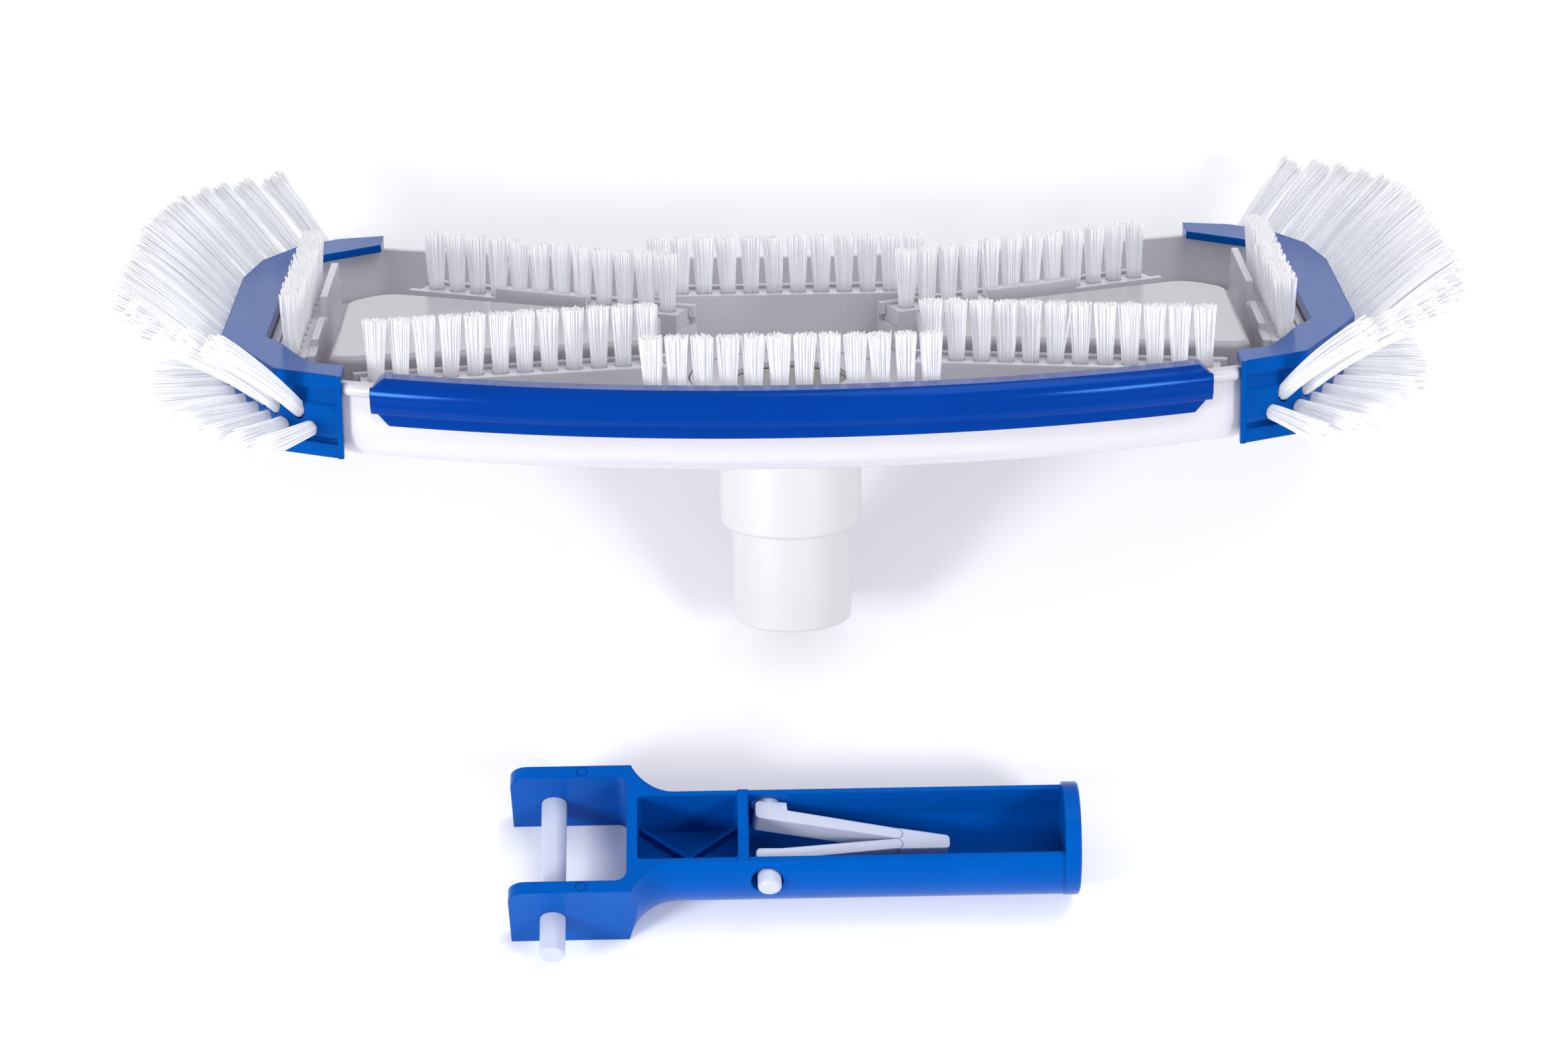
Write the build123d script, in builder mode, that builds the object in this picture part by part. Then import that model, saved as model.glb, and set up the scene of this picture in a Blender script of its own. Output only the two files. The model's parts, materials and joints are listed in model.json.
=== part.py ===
from build123d import *
from math import asin, atan2, cos, degrees, radians, sin, sqrt
import os

# Manual pool vacuum head with side brushes, put down upside down with its pole handle beside it.
#
# The head is drawn in its own frame: X to the right, Y to the rear, Z the way the bristles point,
# with z = 0 on the tops of the brush bars. It is then laid on the floor, where it rests on the end
# of its hose cuff and on the rear ends of its two side brush holders, with its front edge raised.
# The handle is drawn where it lies: on its round back, with its barrel along X. Millimetres.

# ---------------- driving dimensions ----------------
# Body: a shallow crescent dish.
RIM_Z = 2.6               # top of the dish wall
ROOF_Z = -18.0            # outside of the dish's skin
WALL = 2.2
SKIN = 2.5
ROOF_EDGE_R = 8.0         # outer rounding between wall and skin
DISH_EDGE_R = 4.0         # the same inside
FRONT_R = 310.0           # the front edge is one arc of this radius
FRONT_Y = -65.2           # its foremost point
FRONT_X = 116.0           # half its chord
REAR_Y = 84.0             # middle of the hollow rear edge
CORNER_R = 7.0            # rounding of the plan's corners
SIDE_CORNERS = [(130.0, -30.0), (140.8, -12.0), (140.8, 75.0), (132.0, 90.5), (116.0, 102.0)]
BEAD_R = 1.8              # rounded rail along the front rim
BEAD_Y = FRONT_Y + 0.4
BEAD_Z = 0.9
BEAD_X = 114.8            # half length of the rail

# Brush strips: bars with twelve tufts each, slid into T slots.
PITCH = 6.45
TUFTS = 12
BAR_LEN = 79.0
BAR_W = 8.4
BAR_T = 4.6
FOOT_W = 11.0
FOOT_T = 1.8
SLOT_GAP = 0.2
SOCKET_R = 2.15
SOCKET_DEPTH = 3.2
ROOT_R = 2.05
TIP_R = 3.0
TUFT_FREE = 16.6
STRIPS = {                # name: centre x, centre y, turn in degrees
    "centre_front": (0.0, -53.35, 0.0),
    "centre_rear": (0.0, 53.35, 0.0),
    "front_left": (-72.1, -26.0, 9.4),
    "front_right": (72.1, -26.0, -9.4),
    "rear_left": (-64.8, 48.8, -24.2),
    "rear_right": (64.8, 48.8, 24.2),
    "side_left": (-131.3, 31.2, 90.0),
    "side_right": (131.3, 31.2, 90.0),
}

# Suction plate: carries the slots and the weight pods, and has the throat in its middle.
PLATE_TOP = -11.0
PLATE_T = 2.5
PLATE_INSET = 3.2
SEAT_W = 13.2             # width of the raised seat under each bar
SEAT_LEN = 82.0
SEAT_TOP = 0.7
LIP_W = 2.0
GUARDS = [                # strip, rail (+1 or -1), middle along the strip, length, top
    ("rear_left", -1, 0.0, 27.0, 3.4),
    ("rear_right", -1, 0.0, 27.0, 3.4),
    ("side_left", -1, 18.0, 38.0, 6.6),
    ("side_left", -1, -19.0, 24.0, 2.6),
    ("side_right", 1, 18.0, 38.0, 6.6),
    ("side_right", 1, -19.0, 24.0, 2.6),
]
FLOOR_Z = ROOF_Z + SKIN   # inside of the dish

# Weight pods, right-hand outline; the left one is its mirror image.
POD_CORNERS = [(120.5, -22.7), (120.5, 38.0), (110.0, 47.2), (34.0, 18.0), (34.0, -9.8)]
POD_ROUNDS = [5.0, 8.0, 10.0, 4.0, 4.0]
POD_TOP = 3.4
POD_SKIN = 2.0
WEIGHT_T = 8.0
WEIGHT_GAP = 0.6
POST_R = 4.0
POD_POSTS = [(98.0, 10.0), (58.0, 6.0)]
SCREW_R = 1.75
SCREW_HEAD_R = 3.5
SCREW_HEAD_T = 2.2
SCREW_TIP_Z = -3.0
HEAD_SINK = 3.0           # depth of the screw recess in the roof
SUPPORTS = [(124.0, 30.0), (100.0, 66.0), (45.0, 50.0), (100.0, -28.0), (45.0, -40.0)]

# Hose cuff: turns in the hub of the roof.
CUFF_Y = 6.0
CUFF_BIG_R = 19.0
CUFF_RUN_R = 18.8         # the part that runs inside the hub
CUFF_SMALL_R = 16.0
CUFF_BORE_R = 14.0
CUFF_BIG_BORE_R = 15.6
CUFF_STEP_Z = -51.5
CUFF_END_Z = -78.3
CUFF_FLANGE_R = 22.5
CUFF_FLANGE_Z = -15.2
CUFF_FLANGE_T = 2.0
SWIVEL_GAP = 0.35
HUB_R = 24.0
HUB_END_Z = -27.0
THROAT_R = 27.0
RING_R = 26.6
SEAL_R = 1.1
SEAL_Z = -21.5

# Bracket for the handle on the roof.
BRACKET_T = 2.4
BRACKET_SIZE = (56.0, 27.0)
BRACKET_SCREWS = [(-22.3, 47.0), (22.3, 47.0)]
LUG_Y = 47.0
LUG_Z = -36.0
LUG_W = 31.6
LUG_R = 8.0
LUG_CHEEK = 6.0
LUG_WEB = 3.6
PIN_BORE_R = 3.4

# Bumper on the front rail.
BUMPER_X = 106.0
BUMPER_T = 2.0
BUMPER_TOP = 5.2
BUMPER_BOTTOM = -7.0
FLAP_CUT = [(-0.4, -4.0), (4.0, -4.0), (4.0, -8.0), (-4.2, -8.0)]
LIP_CUT = [(-3.0, 6.0), (4.0, 6.0), (4.0, 3.0), (0.6, 3.0)]

# Side brush holders, right-hand outlines.
HOLDER_TOP = 4.9
HOLDER_LIP_Z = 2.8
HOLDER_BOTTOM = -17.0
HOLDER_X = 115.0
HOLDER_GAP = 0.25         # between body wall and holder
HOLDER_REAR = 106.5
HOLDER_OUTER = [(HOLDER_X, -46.0), (133.0, -36.5), (145.0, -13.0), (150.0, -2.0), (150.5, 60.0),
                (147.0, 80.0), (139.0, 94.5), (128.0, 103.5), (HOLDER_X, HOLDER_REAR)]
HOLDER_INNER = [(HOLDER_X, -35.0), (124.0, -31.0), (129.0, -21.5), (134.0, -10.0), (137.9, -5.0),
                (137.9, 69.0), (130.0, 85.0), (HOLDER_X, 95.5)]
CORE_INSET = 2.4          # the wall between the bands
BASE_TOP = -13.4
FLANGE_BOTTOM = 1.0
FAN_BAND = (-13.0, -2.6)  # the bulged band that carries the tufts
FAN_INSET = 0.9
FAN_BAND_R = 2.3
FAN_BAND_X = 116.0
END_PLATE = 1.4
FAN_ROOT_R = 2.0
FAN_SOCKET = 2.0
FANS = {                  # row: root height, tuft count, first and last place on the wall, tip radius
    "upper": (-5.4, 20, 0.075, 0.93, 2.8),
    "lower": (-10.1, 19, 0.055, 0.91, 2.6),
}
FAN_LAY = {               # row: place on the wall, turn towards the rear and lift in degrees, length
    "upper": [(0.0, -54.0, 40.0, 34.0), (0.2, -30.0, 36.0, 37.0), (0.35, -2.0, 38.0, 37.6),
              (0.55, 8.0, 41.0, 38.0), (0.7, 20.0, 42.0, 38.5), (0.82, 36.0, 40.0, 38.5),
              (1.0, 46.0, 38.0, 37.0)],
    "lower": [(0.0, -60.0, -1.0, 22.0), (0.1, -58.0, -1.0, 22.0), (0.2, -30.0, -3.0, 22.0),
              (0.36, 0.0, -4.0, 22.0), (0.62, 0.0, -4.0, 22.0), (0.76, 18.0, 8.0, 22.0),
              (0.85, 35.0, 18.0, 22.0), (1.0, 70.0, 20.0, 22.0)],
}

# Handle: a fork, a pocket and a round barrel cut open along its top.
BARREL_R = 14.25
CUT = 9.2                 # height of the open top above the barrel's axis
FORK_X = (-75.2, -44.6)
WEB_END_X = -41.8
NECK_END_X = -31.0
POCKET_END_X = -15.8
PARTITION_END_X = -13.0
CHANNEL_END_X = 68.6
HANDLE_END_X = 72.8
FORK_HALF = 19.4
FORK_GAP = 16.0
CHANNEL_HALF = 9.6
POCKET_FLOOR = 6.0
PIN_X = -64.0
PIN_Z = 10.6
PIN_R = 3.34
PIN_LEN = 50.0
BUTTON_X = -7.8
BUTTON_Z = 18.0
BUTTON_R = 3.1
BUTTON_OUT = 2.6
BUTTON_SLOT = 1.2         # the button's hole is this much longer than round: the arm swings in
APEX_X = 36.0
APEX_Z = 11.5
BEND_HALF = (1.9, 3.2)    # half width of the clip's bend at its end and where the arms start
BEND_END = 3.0
ARM_ROOT = (-11.0, 1.6)   # where an arm flexes, from the apex
ARM_ROOT_R = 1.5
ARM_GAP = 0.12
ARM_H = 6.0
REAR_BUTTON = 12.4        # the rear button ends inside its hole
ARM_EDGES = {1: (3.9, 3.2, -0.5), -1: (1.7, 1.2, 1.3)}    # arm's inner edges and outer neck, from its head

# Where things lie: the tilt that puts the cuff's end and the holders' rear ends on one floor.
CUFF_REST = (CUFF_Y + CUFF_SMALL_R, CUFF_END_Z)
TILT = atan2(HOLDER_BOTTOM - CUFF_REST[1], HOLDER_REAR - CUFF_REST[0])
HEAD_Y = 18.646           # centres the whole set about the origin
HEAD_LIFT = CUFF_REST[0] * sin(TILT) - CUFF_REST[1] * cos(TILT)
HEAD = Plane(origin=(0, HEAD_Y, HEAD_LIFT), x_dir=(1, 0, 0), z_dir=(0, sin(TILT), cos(TILT)))
HANDLE_Y = HEAD_Y - 118.25
SIDES = {"left": -1, "right": 1}


def front_y(x):
    """Y of the body's front arc at x."""
    return FRONT_Y + FRONT_R - sqrt(FRONT_R**2 - x**2)


def body_plan(inset=0.0):
    """The body's plan, moved in by inset."""
    with BuildSketch() as plan:
        with BuildLine():
            ThreePointArc((-FRONT_X, front_y(FRONT_X)), (0, FRONT_Y), (FRONT_X, front_y(FRONT_X)))
            Polyline((FRONT_X, front_y(FRONT_X)), *SIDE_CORNERS)
            ThreePointArc(SIDE_CORNERS[-1], (0, REAR_Y), (-SIDE_CORNERS[-1][0], SIDE_CORNERS[-1][1]))
            Polyline((-FRONT_X, front_y(FRONT_X)), *[(-x, y) for x, y in SIDE_CORNERS])
        make_face()
        fillet(plan.vertices(), CORNER_R)
        if inset:
            offset(amount=-inset)
    return plan.sketch


def strip_plane(name, z):
    """Plane at height z along a brush strip, its x axis running with the tufts."""
    x, y, turn = STRIPS[name]
    return Plane(origin=(x, y, z), x_dir=(cos(radians(turn)), sin(radians(turn)), 0))


def tuft_spots():
    """Places of the tufts along a strip."""
    return GridLocations(PITCH, 1, TUFTS, 1)


def band(outline, side, low, high, inset=0.0, edge_r=0.0):
    """A prism between two heights over a side outline, moved in by inset, with rounded edges."""
    with BuildPart() as prism:
        with BuildSketch(Plane.XY.offset(low)) as plan:
            with BuildLine():
                Polyline(*[(side * x, y) for x, y in outline], close=True)
            make_face()
            fillet([v for v in plan.vertices() if abs(v.X) > FAN_BAND_X + 1], 4.0)
            if inset:
                offset(amount=-inset)
        extrude(amount=high - low)
        if edge_r:
            fillet(prism.edges().group_by(Axis.Z)[0] + prism.edges().group_by(Axis.Z)[-1], edge_r)
    return prism.part


# ---------------- the body ----------------
def make_body_shell():
    """White dish with the front rail and the hub for the cuff."""
    with BuildPart() as shell:
        with BuildSketch(Plane.XY.offset(ROOF_Z)):
            add(body_plan())
        extrude(amount=RIM_Z - ROOF_Z)
        fillet(shell.faces().sort_by(Axis.Z)[0].edges(), ROOF_EDGE_R)
        with BuildPart(mode=Mode.PRIVATE) as hollow:
            with BuildSketch(Plane.XY.offset(FLOOR_Z)):
                add(body_plan(WALL))
            extrude(amount=RIM_Z - FLOOR_Z + 1)
            fillet(hollow.faces().sort_by(Axis.Z)[0].edges(), DISH_EDGE_R)
        add(hollow.part, mode=Mode.SUBTRACT)
        # Rounded rail along the front rim, a ring about the centre of the front arc.
        arc_centre = Axis((0, FRONT_Y + FRONT_R, 0), (0, 0, 1))
        rail_half = degrees(asin(BEAD_X / (FRONT_R + BEAD_R)))
        with BuildSketch(Plane.YZ):
            with Locations((BEAD_Y, BEAD_Z)):
                Circle(BEAD_R)
        revolve(axis=arc_centre, revolution_arc=rail_half)
        with BuildSketch(Plane.YZ):
            with Locations((BEAD_Y, BEAD_Z)):
                Circle(BEAD_R)
        revolve(axis=arc_centre, revolution_arc=-rail_half)
        # Seats for the suction plate, and the screw bosses among them.
        spots = [(s * x, y) for s in SIDES.values() for x, y in SUPPORTS + POD_POSTS]
        with BuildSketch(Plane.XY.offset(FLOOR_Z)):
            with Locations(*spots, *BRACKET_SCREWS):
                Circle(6.0)
        extrude(amount=PLATE_TOP - PLATE_T - FLOOR_Z)
        screw_spots = [(s * x, y) for s in SIDES.values() for x, y in POD_POSTS]
        with BuildSketch(Plane.XY.offset(ROOF_Z)):
            with Locations(*screw_spots):
                Circle(SCREW_HEAD_R + 0.3)
        extrude(amount=HEAD_SINK, mode=Mode.SUBTRACT)
        with BuildSketch(Plane.XY.offset(ROOF_Z)):
            with Locations(*screw_spots):
                Circle(SCREW_R + 0.15)
        extrude(amount=PLATE_TOP - ROOF_Z, mode=Mode.SUBTRACT)
        # Hub: a short tube that the cuff turns in.
        with BuildSketch(Plane.XY.offset(FLOOR_Z)):
            with Locations((0, CUFF_Y)):
                Circle(HUB_R)
        extrude(amount=HUB_END_Z - FLOOR_Z)
        with BuildSketch(Plane.XY.offset(FLOOR_Z)):
            with Locations((0, CUFF_Y)):
                Circle(CUFF_BIG_R + SWIVEL_GAP)
        extrude(amount=HUB_END_Z - FLOOR_Z, mode=Mode.SUBTRACT)
        # Pilot holes for the handle bracket's screws.
        with BuildSketch(Plane.XY.offset(ROOF_Z)):
            with Locations(*BRACKET_SCREWS):
                Circle(SCREW_R + 0.05)
        extrude(amount=PLATE_TOP - PLATE_T - ROOF_Z, mode=Mode.SUBTRACT)
    return shell


def make_handle_bracket():
    """Bracket screwed to the roof: a base and two cheeks joined by a web, bored for the handle's pin."""
    base_z = ROOF_Z - BRACKET_T
    with BuildPart() as bracket:
        with BuildSketch(Plane.XY.offset(base_z)):
            with Locations((0, LUG_Y)):
                RectangleRounded(*BRACKET_SIZE, 4.0)
            with Locations(*BRACKET_SCREWS):
                Circle(SCREW_R + 0.15, mode=Mode.SUBTRACT)
        extrude(amount=BRACKET_T)
        with BuildSketch(Plane.YZ.offset(-LUG_W / 2)):
            with Locations((LUG_Y, LUG_Z)):
                Circle(LUG_R)
            with Locations((LUG_Y, (LUG_Z + base_z) / 2)):
                Rectangle(2 * LUG_R, base_z - LUG_Z)
        extrude(amount=LUG_W)
        with BuildSketch(Plane.YZ.offset(-LUG_W / 2 + LUG_CHEEK)):
            with Locations((LUG_Y + LUG_WEB / 2, (LUG_Z + base_z) / 2 - 5)):
                Rectangle(2 * LUG_R - LUG_WEB, base_z - LUG_Z + 10)
        extrude(amount=LUG_W - 2 * LUG_CHEEK, mode=Mode.SUBTRACT)
        with BuildSketch(Plane.YZ.offset(-LUG_W / 2)):
            with Locations((LUG_Y, LUG_Z)):
                Circle(PIN_BORE_R)
        extrude(amount=LUG_W, mode=Mode.SUBTRACT)
    return bracket


def make_bracket_screws():
    """Two self-tapping screws that hold the handle bracket."""
    head_z = ROOF_Z - BRACKET_T - SCREW_HEAD_T
    with BuildPart() as screws:
        with BuildSketch(Plane.XY.offset(head_z)):
            with Locations(*BRACKET_SCREWS):
                Circle(SCREW_HEAD_R)
        extrude(amount=SCREW_HEAD_T)
        with BuildSketch(Plane.XY.offset(head_z)):
            with Locations(*BRACKET_SCREWS):
                Circle(SCREW_R)
        extrude(amount=PLATE_TOP - PLATE_T - 0.3 - head_z)
        with BuildSketch(Plane.XY.offset(head_z)):
            with Locations(*BRACKET_SCREWS):
                Rectangle(4.4, 0.9)
                Rectangle(0.9, 4.4)
        extrude(amount=1.3, mode=Mode.SUBTRACT)
    return screws


def make_suction_plate():
    """White inner plate: a T slot on a raised seat for each bar, and the round throat."""
    bar_bottom = -BAR_T
    foot_top = bar_bottom + FOOT_T + SLOT_GAP
    with BuildPart() as plate:
        with BuildSketch(Plane.XY.offset(PLATE_TOP - PLATE_T)):
            add(body_plan(PLATE_INSET))
            with Locations((0, CUFF_Y)):
                Circle(THROAT_R, mode=Mode.SUBTRACT)
            with Locations(*[(s * x, y) for s in SIDES.values() for x, y in POD_POSTS]):
                Circle(SCREW_R + 0.15, mode=Mode.SUBTRACT)
        extrude(amount=PLATE_T)
        for name in STRIPS:
            with BuildSketch(strip_plane(name, PLATE_TOP)):
                Rectangle(SEAT_LEN, SEAT_W)
            extrude(amount=SEAT_TOP - PLATE_TOP)
        for name in STRIPS:
            with BuildSketch(strip_plane(name, bar_bottom)):
                Rectangle(SEAT_LEN + 1, FOOT_W + 2 * SLOT_GAP)
            extrude(amount=foot_top - bar_bottom, mode=Mode.SUBTRACT)
            with BuildSketch(strip_plane(name, foot_top)):
                Rectangle(SEAT_LEN + 1, BAR_W + 2 * SLOT_GAP)
            extrude(amount=SEAT_TOP - foot_top, mode=Mode.SUBTRACT)
        # Guards: raised lips on the rail nearest the pods, beside the rear and side strips.
        for name, rail, along, length, top in GUARDS:
            with BuildSketch(strip_plane(name, SEAT_TOP - 1)):
                with Locations((along, rail * (SEAT_W - LIP_W) / 2)):
                    Rectangle(length, LIP_W)
            extrude(amount=top - SEAT_TOP + 1)
    return plate


def make_brush_bar(name):
    """One brush bar: T section, twelve sockets."""
    with BuildPart() as bar:
        with BuildSketch(strip_plane(name, -BAR_T)):
            Rectangle(BAR_LEN, FOOT_W)
        extrude(amount=FOOT_T)
        with BuildSketch(strip_plane(name, -BAR_T)):
            Rectangle(BAR_LEN, BAR_W)
        extrude(amount=BAR_T)
        with BuildSketch(strip_plane(name, 0)):
            with tuft_spots():
                Circle(SOCKET_R)
        extrude(amount=-SOCKET_DEPTH, mode=Mode.SUBTRACT)
    return bar


def make_brush_tufts(name):
    """The twelve tufts of one bar, each a root cylinder and a flaring brush."""
    with BuildPart() as tufts:
        with BuildSketch(strip_plane(name, -SOCKET_DEPTH)):
            with tuft_spots():
                Circle(ROOT_R)
        extrude(amount=SOCKET_DEPTH)
        for spot in tuft_spots():
            root = strip_plane(name, 0).location * spot
            with Locations(root):
                Cone(ROOT_R, TIP_R, TUFT_FREE, align=(Align.CENTER, Align.CENTER, Align.MIN))
    return tufts


# ---------------- weights ----------------
def pod_plan(side, inset=0.0):
    """A pod's plan on one side, moved in by inset."""
    with BuildSketch() as plan:
        with BuildLine():
            FilletPolyline(*[(side * x, y) for x, y in POD_CORNERS], radius=POD_ROUNDS, close=True)
        make_face()
        if inset:
            offset(amount=-inset)
    return plan.sketch


def make_weight_pod(side):
    """Glossy cover over one weight, with two screw posts inside."""
    posts = [(side * x, y) for x, y in POD_POSTS]
    with BuildPart() as pod:
        with BuildSketch(Plane.XY.offset(PLATE_TOP)):
            add(pod_plan(side))
        extrude(amount=POD_TOP - PLATE_TOP)
        fillet(pod.faces().sort_by(Axis.Z)[-1].edges(), 1.8)
        with BuildSketch(Plane.XY.offset(PLATE_TOP)):
            add(pod_plan(side, POD_SKIN))
        extrude(amount=POD_TOP - PLATE_TOP - POD_SKIN, mode=Mode.SUBTRACT)
        with BuildSketch(Plane.XY.offset(PLATE_TOP)):
            with Locations(*posts):
                Circle(POST_R)
        extrude(amount=POD_TOP - PLATE_TOP - POD_SKIN / 2)
        with BuildSketch(Plane.XY.offset(PLATE_TOP)):
            with Locations(*posts):
                Circle(SCREW_R + 0.05)
        extrude(amount=SCREW_TIP_Z - PLATE_TOP + 1, mode=Mode.SUBTRACT)
    return pod


def make_weight(side):
    """Iron slab inside one pod."""
    with BuildPart() as slab:
        with BuildSketch(Plane.XY.offset(PLATE_TOP)):
            add(pod_plan(side, POD_SKIN + WEIGHT_GAP))
            with Locations(*[(side * x, y) for x, y in POD_POSTS]):
                Circle(POST_R + WEIGHT_GAP, mode=Mode.SUBTRACT)
        extrude(amount=WEIGHT_T)
    return slab


def make_pod_screws():
    """Four self-tapping screws that hold the pods from the roof side."""
    spots = [(s * x, y) for s in SIDES.values() for x, y in POD_POSTS]
    head_z = ROOF_Z + HEAD_SINK - SCREW_HEAD_T
    with BuildPart() as screws:
        with BuildSketch(Plane.XY.offset(head_z)):
            with Locations(*spots):
                Circle(SCREW_HEAD_R)
        extrude(amount=SCREW_HEAD_T)
        with BuildSketch(Plane.XY.offset(head_z)):
            with Locations(*spots):
                Circle(SCREW_R)
        extrude(amount=SCREW_TIP_Z - head_z)
        with BuildSketch(Plane.XY.offset(head_z)):
            with Locations(*spots):
                Rectangle(4.4, 0.9)
                Rectangle(0.9, 4.4)
        extrude(amount=1.3, mode=Mode.SUBTRACT)
    return screws


# ---------------- swivel ----------------
def make_hose_cuff():
    """Stepped cuff: a flange held in the body, the large section and the small one."""
    flange_top = CUFF_FLANGE_Z + CUFF_FLANGE_T
    groove_r = CUFF_BIG_R - 2 * SEAL_R + 0.15
    with BuildPart() as cuff:
        with BuildSketch(Plane.XZ.offset(-CUFF_Y)):
            with BuildLine():
                Polyline(
                    (CUFF_BIG_BORE_R, flange_top), (CUFF_FLANGE_R, flange_top),
                    (CUFF_FLANGE_R, CUFF_FLANGE_Z), (CUFF_RUN_R, CUFF_FLANGE_Z),
                    (CUFF_RUN_R, SEAL_Z + SEAL_R + 0.1), (groove_r, SEAL_Z + SEAL_R + 0.1),
                    (groove_r, SEAL_Z - SEAL_R - 0.1), (CUFF_RUN_R, SEAL_Z - SEAL_R - 0.1),
                    (CUFF_RUN_R, HUB_END_Z), (CUFF_BIG_R, HUB_END_Z - 0.5),
                    (CUFF_BIG_R, CUFF_STEP_Z + 0.8), (CUFF_BIG_R - 0.8, CUFF_STEP_Z),
                    (CUFF_SMALL_R, CUFF_STEP_Z), (CUFF_SMALL_R, CUFF_END_Z + 0.4),
                    (CUFF_SMALL_R - 0.4, CUFF_END_Z), (CUFF_BORE_R, CUFF_END_Z),
                    (CUFF_BORE_R, CUFF_STEP_Z), (CUFF_BIG_BORE_R, CUFF_STEP_Z + 2),
                    close=True)
            make_face()
        revolve(axis=Axis((0, CUFF_Y, 0), (0, 0, 1)))
    return cuff


def make_swivel_seal():
    """O-ring between cuff and hub."""
    with BuildPart() as seal:
        with BuildSketch(Plane.XZ.offset(-CUFF_Y)):
            with Locations((CUFF_BIG_R - SEAL_R + 0.2, SEAL_Z)):
                Circle(SEAL_R)
        revolve(axis=Axis((0, CUFF_Y, 0), (0, 0, 1)))
    return seal


def make_swivel_ring():
    """Retaining ring over the cuff's flange."""
    flange_top = CUFF_FLANGE_Z + CUFF_FLANGE_T
    with BuildPart() as ring:
        with BuildSketch(Plane.XZ.offset(-CUFF_Y)):
            with BuildLine():
                Polyline(
                    (CUFF_FLANGE_R + SWIVEL_GAP, FLOOR_Z), (RING_R, FLOOR_Z),
                    (RING_R, flange_top + SWIVEL_GAP + 1.6),
                    (CUFF_BIG_BORE_R, flange_top + SWIVEL_GAP + 1.6),
                    (CUFF_BIG_BORE_R, flange_top + SWIVEL_GAP),
                    (CUFF_FLANGE_R + SWIVEL_GAP, flange_top + SWIVEL_GAP), close=True)
            make_face()
        revolve(axis=Axis((0, CUFF_Y, 0), (0, 0, 1)))
    return ring


# ---------------- blue trim ----------------
def make_bumper():
    """Blue C strip that snaps over the front rail."""
    out = BEAD_Y - BEAD_R - 0.3              # inner face, clear of the rail
    sweep_half = degrees(asin(BUMPER_X / FRONT_R))
    arc_centre = Axis((0, FRONT_Y + FRONT_R, 0), (0, 0, 1))
    with BuildPart() as bumper:
        for turn in (sweep_half, -sweep_half):
            with BuildSketch(Plane.YZ):
                with BuildLine():
                    ThreePointArc((out - 0.2, BUMPER_TOP), (out - 1.8, 3.7), (out - BUMPER_T - 0.5, -0.2))
                    ThreePointArc((out - BUMPER_T - 0.5, -0.2), (out - BUMPER_T - 0.45, -2.0), (out - BUMPER_T, -3.8))
                    Polyline(
                        (out - BUMPER_T, -3.8), (out - BUMPER_T + 0.5, -4.1),
                        (out - BUMPER_T + 0.7, BUMPER_BOTTOM), (out + 0.4, BUMPER_BOTTOM),
                        (out, -3.6), (out, BEAD_Z + BEAD_R + 0.3),
                        (FRONT_Y + 3.0, BEAD_Z + BEAD_R + 0.3), (FRONT_Y + 3.0, BUMPER_TOP),
                        (out - 0.2, BUMPER_TOP))
                make_face()
            revolve(axis=arc_centre, revolution_arc=turn)
        # The flap under the strip is a little shorter, with slanted ends, and the top lip is bevelled.
        for side in SIDES.values():
            with BuildSketch(Plane.XZ):
                with BuildLine():
                    Polyline(*[(side * (BUMPER_X + x), z) for x, z in FLAP_CUT], close=True)
                make_face()
                with BuildLine():
                    Polyline(*[(side * (BUMPER_X + x), z) for x, z in LIP_CUT], close=True)
                make_face()
            extrude(amount=-FRONT_Y, mode=Mode.SUBTRACT)
    return bumper


def fan_path(side):
    """Line round the outside of a holder that the tufts stand on, front end first."""
    points = [(side * x, y) for x, y in HOLDER_OUTER]
    with BuildLine() as path:
        FilletPolyline(*points, radius=4.0)
    return path.wires()[0]


def fan_lay(row, along):
    """Turn, lift and length of a fan's tuft at a place on the wall, between the places listed."""
    before, after = next(pair for pair in zip(FAN_LAY[row], FAN_LAY[row][1:]) if along <= pair[1][0])
    share = (along - before[0]) / (after[0] - before[0])
    return [a + share * (b - a) for a, b in zip(before[1:], after[1:])]


def fan_rows(side, row):
    """A fan's tufts: for each, a plane at its root with the z axis along the tuft, and its length."""
    root_z, count, first, last, _ = FANS[row]
    path = fan_path(side)
    tufts = []
    for k in range(count):
        along = first + (last - first) * k / (count - 1)
        point = path.position_at(along)
        run = path.tangent_at(along)
        outward = Vector(run.Y, -run.X, 0) * side
        turn, lift, length = fan_lay(row, along)
        turn, lift = radians(turn), radians(lift)
        root = point - outward * FAN_INSET + Vector(0, 0, root_z)
        way = Vector(side * cos(turn) * cos(lift), sin(turn) * cos(lift), sin(lift))
        tufts.append((Plane(origin=root, z_dir=way), length))
    return tufts


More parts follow.
